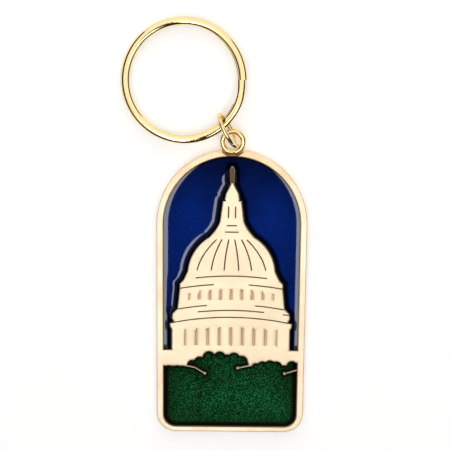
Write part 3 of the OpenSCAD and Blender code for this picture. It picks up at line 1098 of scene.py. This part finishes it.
def enamel_material(name, values, roughness):
    """Enamel with the shared colour and painted shade, under a clear gloss that thins against the
    relief.
    """
    material, tree, surface = shader(name)
    depth = add(tree, "ShaderNodeGroup", node_tree=shared("Enamel tone and painted shade", enamel_shade_group))
    for label, value in values.items():
        depth.inputs[label].default_value = value
    surface.inputs["Specular IOR Level"].default_value = 0.0
    surface.inputs["Coat IOR"].default_value = 1.55
    surface.inputs["Coat Roughness"].default_value = roughness
    link_into(tree, surface, {"Base Color": depth.outputs["Colour"],
                              "Coat Weight": depth.outputs["Gloss"]})
    return material


def floor_material(colours):
    """A pale, even floor that glows faintly, like a light table."""
    material, tree, surface = shader("Pale floor")
    place = add(tree, "ShaderNodeTexCoord").outputs["Object"]
    cloud = add(tree, "ShaderNodeTexNoise", {"Vector": place, "Scale": 3.0})
    tone = add(tree, "ShaderNodeMix", {0: cloud.outputs[0], 6: tuple(colours.floor),
                                       7: (0.93, 0.93, 0.92, 1)}, data_type="RGBA")
    surface.inputs["Roughness"].default_value = 0.8
    surface.inputs["Emission Color"].default_value = (1, 1, 1, 1)
    surface.inputs["Emission Strength"].default_value = 0.3
    link_into(tree, surface, {"Base Color": tone.outputs[2]})
    return material


# ---------------------------------------------------------------- pieces


def add_piece(name, mesh, material, body, node):
    """Puts a finished mesh in the scene, riding on its body in place of a frame node."""
    mesh.materials.clear()
    mesh.materials.append(material)
    piece = bpy.data.objects.new(name, mesh)
    bpy.context.scene.collection.objects.link(piece)
    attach(piece, body)
    if node:
        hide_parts(node)
    return piece


def make_plate(scene):
    """The struck plate."""
    mesh = plate_mesh(scene.fob_sizes)
    material = plate_material(scene.fob_colours)
    add_piece("struck_plate", mesh, material, "fob", "fob_plate")


def make_columns(scene):
    """The colonnade's columns and the drum's pilasters."""
    material = bpy.data.materials["Struck plate"]
    tree = shared("Column row", column_tree)
    depth = scene.fob_sizes.panel_depth
    base = PLATE_TOP * MM - depth
    rows = {
        "colonnade": (COLUMN_GAPS - 1, COLUMN_PITCH, COLONNADE, 1 / (2 * STOREY_CURVE)),
        "pilasters": (WINDOWS - 1, WINDOW_PITCH, DRUM_ROW, DRUM_FALL),
    }
    for name, (count, pitch, (foot, head), fall) in rows.items():
        mesh = grown(name, tree, {
            "Count": count, "Pitch": pitch * MM, "Width": (pitch - 0.8 * GAP_HALF) * MM,
            "Height": (head - foot + 0.5) * MM, "Fall": fall / MM, "Depth": depth * 0.93,
            "Block": 0.5 * MM, "Material": material})
        places = np.empty(3 * len(mesh.vertices))
        mesh.vertices.foreach_get("co", places)
        # Painted shade: the columns and pilasters take the warm tint low on their sides, more so
        # the deeper down.
        sunk = 1 - np.clip(places[2::3] / depth, 0, 1)
        set_values(mesh, "braze", 0.8 * sunk ** 1.5)
        set_values(mesh, "relief", np.ones(len(sunk)))
        mesh.transform(Matrix.Translation((0, (LEDGE_Y + foot - 0.2) * MM, base)))
        add_piece(name, mesh, material, "fob", None)


def make_enamels(scene):
    """The blue and the green enamel."""
    sizes, colours = scene.fob_sizes, scene.fob_colours
    # The dark colours against the walls, their reaches, and the fade towards the top of the sky
    # set below are painted shade on the enamel.
    sky = enamel_material("Blue enamel", {
        "Colour": colours.sky, "Painted shade colour": colours.sky_shade,
        "Spark colour": colours.sky_spark, "Rim shade reach": 0.5, "Relief shade reach": 1.4,
        "Grain": 2600.0, "Sparkle": 0.5, "Gloss": 1.0, "Top shade from": 0.011, "Top shade to": 0.028,
        "Top shade share": 0.35}, 0.05)
    lawn = enamel_material("Green enamel", {
        "Colour": colours.lawn, "Painted shade colour": colours.lawn_shade,
        "Spark colour": colours.lawn_spark, "Rim shade reach": 1.3, "Relief shade reach": 0.7,
        "Grain": 5600.0, "Sparkle": 1.0, "Gloss": 0.35}, 0.1)
    mesh = enamel_mesh("sky", sky_distance, relief_in_sky, sky_climb, 1.0, sizes)
    add_piece("sky", mesh, sky, "fob", "sky_enamel")
    mesh = enamel_mesh("lawn", lawn_distance, relief_in_lawn, lawn_climb, LAWN_RISE, sizes)
    add_piece("lawn", mesh, lawn, "fob", "lawn_enamel")


def make_loop(scene):
    """The loop brazed to the plate."""
    material = wire_material("Loop wire", scene.fob_colours, 0.9, 0.2)
    mesh = grown("hanging_loop", shared("Bent wire", wire_tree), {
        "Radius": LOOP_MID * MM, "Width": LOOP_WIRE * MM, "Height": LOOP_WIRE * MM,
        "Roundness": 1.0, "Steps": 96, "Sweep": 2 * math.pi, "Closed": True,
        "Material": material})
    mesh.transform(Matrix.Translation((0, LOOP_Y * MM, LOOP_Z * MM)))
    add_piece("brazed_loop", mesh, material, "fob", "hanging_loop")


def make_jump_ring(scene):
    """The jump ring, with its butt joint a little open."""
    sizes = scene.fob_sizes
    low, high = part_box("jump_ring")
    material = wire_material("Jump ring wire", scene.fob_colours, 0.4, 0.14)
    tall = high.z - low.z - sizes.jump_wire
    radius = tall / 2 / math.cos(sizes.jump_lean)
    slit = 0.07 * MM / radius
    mesh = grown("jump_ring", shared("Bent wire", wire_tree), {
        "Radius": radius, "Width": sizes.jump_wire, "Height": sizes.jump_wire,
        "Roundness": 1.0, "Steps": 128, "Start": math.radians(60) + slit / 2,
        "Sweep": 2 * math.pi - slit, "Material": material})
    turn = Matrix.Rotation(math.pi / 2 + sizes.jump_turn, 4, "Z")
    lean = Matrix.Rotation(math.pi / 2 - sizes.jump_lean, 4, "X")
    mesh.transform(Matrix.Translation((low + high) / 2) @ turn @ lean)
    add_piece("open_jump_ring", mesh, material, "jump_ring", "jump_ring")


# The wire's two ends stop this far short of the step
END_GAP = math.radians(1)


def make_split_ring(scene):
    """The split ring: two turns of one flattened wire, with a step between them."""
    sizes = scene.fob_sizes
    low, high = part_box("split_ring")
    mount = next(m for m in frame["record"]["mounts"] if m["name"] == "key_ring")
    material = wire_material("Split ring wire", scene.fob_colours, 0.25, 0.07)
    outer = 12.5 * MM
    step = math.radians(23)
    # Small shares of the room between the turns and at the coil's outside stay free
    inset, thinner, lower = 0.15 * MM, 0.1 * MM, 0.03 * MM
    mesh = grown("split_ring", shared("Bent wire", wire_tree), {
        "Radius": outer - sizes.wire_width / 2 - inset, "Width": sizes.wire_width - thinner,
        "Height": sizes.turn_height - lower, "Roundness": sizes.wire_roundness, "Steps": 400,
        "Start": END_GAP, "Sweep": 4 * math.pi - step - 2 * END_GAP,
        "Drop from": 2 * math.pi - step, "Drop over": step, "Drop": sizes.turn_height,
        "Sideways": -0.28 * MM, "Material": material})
    tilt = Vector((0, 0, 1)).rotation_difference(Vector(mount["axis"])).to_matrix().to_4x4()
    mesh.transform(Matrix.Translation((low + high) / 2) @ tilt)
    add_piece("two_turn_ring", mesh, material, "split_ring", "split_ring")


# ---------------------------------------------------------------- stage


CAMERA_PLACE = (-0.00179, 0.05645, 0.22)
CAMERA_PITCH = math.radians(-10.984)
CAMERA_ROLL = math.radians(0.55)
FOCAL_LENGTH = 88.68
# Height of the light panels that face down
CEILING = 0.7


def softbox(name, place, size, tip, radiance):
    """A flat light panel: its middle, its two sides, its tip about the X axis from facing
    down, and the light that it shows."""
    light = bpy.data.lights.new(name, "AREA")
    light.shape = "RECTANGLE"
    light.size, light.size_y = size
    light.energy = radiance * math.pi * size[0] * size[1]
    panel = bpy.data.objects.new(name, light)
    panel.location = place
    panel.rotation_euler = (math.radians(tip), 0, 0)
    panel.visible_camera = False
    bpy.context.scene.collection.objects.link(panel)


def make_stage(scene):
    """The floor, the lights, the room and the camera."""
    mesh = bpy.data.meshes.new("floor")
    reach, low = 3.0, -0.02 * MM
    mesh.from_pydata([(-reach, -reach, low), (reach, -reach, low), (reach, reach, low),
                      (-reach, reach, low)], [], [(0, 1, 2, 3)])
    mesh.materials.append(floor_material(scene.fob_colours))
    floor = bpy.data.objects.new("floor", mesh)
    scene.collection.objects.link(floor)

    softbox("North panel", (0, 0.42, CEILING), (1.26, 0.8), 0, 1.1)
    softbox("North wall", (0, 0.85, 0.38), (1.6, 0.7), -90, 1.0)
    for side, name in ((-1, "West"), (1, "East")):
        softbox(f"{name} strip", (side * 0.15, -0.2, CEILING), (0.12, 0.42), 0, 4.8)
        softbox(f"{name} panel", (side * 0.41, -0.19, CEILING), (0.44, 0.42), 0, 0.85)

    world = bpy.data.worlds.new("Dim room")
    world.use_nodes = True
    world.node_tree.nodes["Background"].inputs["Color"].default_value = (0.035, 0.03, 0.028, 1)
    scene.world = world

    lens = bpy.data.cameras.new("Camera")
    lens.lens, lens.sensor_width = FOCAL_LENGTH, 36.0
    lens.clip_start = 0.01
    camera = bpy.data.objects.new("Camera", lens)
    pitch = Matrix.Rotation(CAMERA_PITCH, 4, "X")
    roll = Matrix.Rotation(CAMERA_ROLL, 4, "Z")
    camera.matrix_world = Matrix.Translation(CAMERA_PLACE) @ roll @ pitch
    scene.collection.objects.link(camera)
    scene.camera = camera
    scene.view_settings.view_transform = "Standard"


# ---------------------------------------------------------------- add-on


class FOB_OT_plate(bpy.types.Operator):
    """Build the struck plate"""

    bl_idname = "fob.plate"
    bl_label = "Build plate"
    bl_options = {"REGISTER", "UNDO"}

    def execute(self, context):
        make_plate(context.scene)
        return {"FINISHED"}


class FOB_OT_columns(bpy.types.Operator):
    """Build the columns and pilasters on the plate"""

    bl_idname = "fob.columns"
    bl_label = "Build columns"
    bl_options = {"REGISTER", "UNDO"}

    def execute(self, context):
        make_columns(context.scene)
        return {"FINISHED"}


class FOB_OT_enamels(bpy.types.Operator):
    """Build both fields of enamel"""

    bl_idname = "fob.enamels"
    bl_label = "Build enamels"
    bl_options = {"REGISTER", "UNDO"}

    def execute(self, context):
        make_enamels(context.scene)
        return {"FINISHED"}


class FOB_OT_loop(bpy.types.Operator):
    """Build the brazed loop"""

    bl_idname = "fob.loop"
    bl_label = "Build loop"
    bl_options = {"REGISTER", "UNDO"}

    def execute(self, context):
        make_loop(context.scene)
        return {"FINISHED"}


class FOB_OT_jump_ring(bpy.types.Operator):
    """Build the jump ring"""

    bl_idname = "fob.jump_ring"
    bl_label = "Build jump ring"
    bl_options = {"REGISTER", "UNDO"}

    def execute(self, context):
        make_jump_ring(context.scene)
        return {"FINISHED"}


class FOB_OT_split_ring(bpy.types.Operator):
    """Build the split key ring"""

    bl_idname = "fob.split_ring"
    bl_label = "Build split ring"
    bl_options = {"REGISTER", "UNDO"}

    def execute(self, context):
        make_split_ring(context.scene)
        return {"FINISHED"}


class FOB_OT_stage(bpy.types.Operator):
    """Build the floor, lights and camera"""

    bl_idname = "fob.stage"
    bl_label = "Build stage"
    bl_options = {"REGISTER", "UNDO"}

    def execute(self, context):
        make_stage(context.scene)
        return {"FINISHED"}


OPERATORS = [FOB_OT_plate, FOB_OT_columns, FOB_OT_enamels, FOB_OT_loop, FOB_OT_jump_ring,
             FOB_OT_split_ring, FOB_OT_stage]


class FOB_PT_sidebar(bpy.types.Panel):
    """Sizes, colours and build buttons of the key fob"""

    bl_label = "Souvenir key fob"
    bl_space_type = "VIEW_3D"
    bl_region_type = "UI"
    bl_category = "Key fob"

    def draw(self, context):
        for settings in (context.scene.fob_sizes, context.scene.fob_colours):
            column = self.layout.column(align=True)
            for name in settings.bl_rna.properties.keys():
                if name not in ("rna_type", "name"):
                    column.prop(settings, name)
        for made in OPERATORS:
            self.layout.operator(made.bl_idname)


CLASSES = [FobSizes, FobColours, *OPERATORS, FOB_PT_sidebar]


def register():
    """Adds the settings, operators and panel to Blender."""
    for cls in CLASSES:
        bpy.utils.register_class(cls)
    bpy.types.Scene.fob_sizes = bpy.props.PointerProperty(type=FobSizes)
    bpy.types.Scene.fob_colours = bpy.props.PointerProperty(type=FobColours)


def unregister():
    """Takes them out again."""
    del bpy.types.Scene.fob_colours
    del bpy.types.Scene.fob_sizes
    for cls in reversed(CLASSES):
        bpy.utils.unregister_class(cls)


def main():
    """Builds everything in order."""
    register()
    bpy.ops.fob.plate()
    bpy.ops.fob.columns()
    bpy.ops.fob.enamels()
    bpy.ops.fob.loop()
    bpy.ops.fob.jump_ring()
    bpy.ops.fob.split_ring()
    bpy.ops.fob.stage()


if __name__ == "__main__":
    main()
